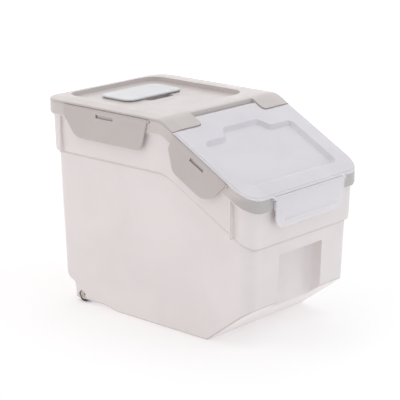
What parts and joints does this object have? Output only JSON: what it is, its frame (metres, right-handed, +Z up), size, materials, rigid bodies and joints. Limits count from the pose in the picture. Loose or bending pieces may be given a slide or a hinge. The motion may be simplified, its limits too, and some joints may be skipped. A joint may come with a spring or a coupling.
{
  "type": "pet food storage container",
  "caption": "Wheeled pet food bin with a lift-off latched lid, a clear hinged scoop cover on its sloping front and a desiccant holder in the top.",
  "frame": {"origin": "on the floor under the tub, midway along the lid's rail and on the middle plane", "axes": "+X across the container, +Y from its sloping front towards its back, +Z up"},
  "size_m": [0.2488, 0.3867, 0.2978],
  "materials": {
    "tub_plastic": "satin moulded plastic, warm white",
    "lid_plastic": "satin moulded plastic, pale taupe",
    "latch_plastic": "satin moulded plastic, taupe",
    "cap_plastic": "smooth moulded plastic, cool white",
    "clear_plastic": "clear moulded plastic, polished",
    "seal_rubber": "matte silicone",
    "pin_steel": "plain drawn pins",
    "hub_plastic": "satin moulded plastic, cream",
    "tyre_rubber": "matte rubber"
  },
  "bodies": {
    "tub": {"tub": "tub_plastic", "axle_left": "pin_steel", "axle_right": "pin_steel"},
    "lid": {"lid": "lid_plastic", "lid_seal": "seal_rubber", "cover_hinge_pin_left": "pin_steel", "cover_hinge_pin_right": "pin_steel", "latch_pin_left_rear": "pin_steel", "latch_pin_left_front": "pin_steel", "latch_pin_right_rear": "pin_steel", "latch_pin_right_front": "pin_steel", "desiccant_box": "lid_plastic"},
    "front_cover": {"front_cover": "clear_plastic", "cover_seal": "seal_rubber", "front_latch_pin": "pin_steel"},
    "front_latch": {"front_latch": "clear_plastic"},
    "desiccant_cap": {"desiccant_cap": "cap_plastic"},
    "wheel_left": {"wheel_left": "hub_plastic", "tyre_left": "tyre_rubber"},
    "wheel_right": {"wheel_right": "hub_plastic", "tyre_right": "tyre_rubber"},
    "side_latch_left_rear": {"side_latch_left_rear": "latch_plastic"},
    "side_latch_left_front": {"side_latch_left_front": "latch_plastic"},
    "side_latch_right_rear": {"side_latch_right_rear": "latch_plastic"},
    "side_latch_right_front": {"side_latch_right_front": "latch_plastic"}
  },
  "joints": [
    {"name": "lid_lift", "type": "slide", "parent": "tub", "child": "lid", "axis": [0, 0, 1], "range_m": [0, 0.12]},
    {"name": "cover_hinge", "type": "hinge", "parent": "lid", "child": "front_cover", "pos_m": [0, -0.0439, 0.28729], "axis": [-1, 0, 0], "range_deg": [0, 124]},
    {"name": "front_latch_hinge", "type": "hinge", "parent": "front_cover", "child": "front_latch", "pos_m": [0, -0.1925, 0.20739], "axis": [-1, 0, 0], "range_deg": [0, 100]},
    {"name": "cap_lift", "type": "slide", "parent": "lid", "child": "desiccant_cap", "axis": [0, 0, 1], "range_m": [0, 0.04]},
    {"name": "side_latch_left_rear_hinge", "type": "hinge", "parent": "lid", "child": "side_latch_left_rear", "pos_m": [-0.1219, 0.0645, 0.2906], "axis": [0, 1, 0], "range_deg": [0, 120]},
    {"name": "side_latch_left_front_hinge", "type": "hinge", "parent": "lid", "child": "side_latch_left_front", "pos_m": [-0.1219, -0.10561, 0.25217], "axis": [0, 0.8746, 0.4848], "range_deg": [0, 120]},
    {"name": "wheel_left_spin", "type": "hinge", "parent": "tub", "child": "wheel_left", "pos_m": [-0.0945, 0.1356, 0.0102], "axis": [1, 0, 0], "continuous": true},
    {"name": "side_latch_right_rear_hinge", "type": "hinge", "parent": "lid", "child": "side_latch_right_rear", "pos_m": [0.1219, 0.0645, 0.2906], "axis": [0, -1, 0], "range_deg": [0, 120]},
    {"name": "side_latch_right_front_hinge", "type": "hinge", "parent": "lid", "child": "side_latch_right_front", "pos_m": [0.1219, -0.10561, 0.25217], "axis": [0, -0.8746, -0.4848], "range_deg": [0, 120]},
    {"name": "wheel_right_spin", "type": "hinge", "parent": "tub", "child": "wheel_right", "pos_m": [0.0945, 0.1356, 0.0102], "axis": [1, 0, 0], "continuous": true}
  ]
}
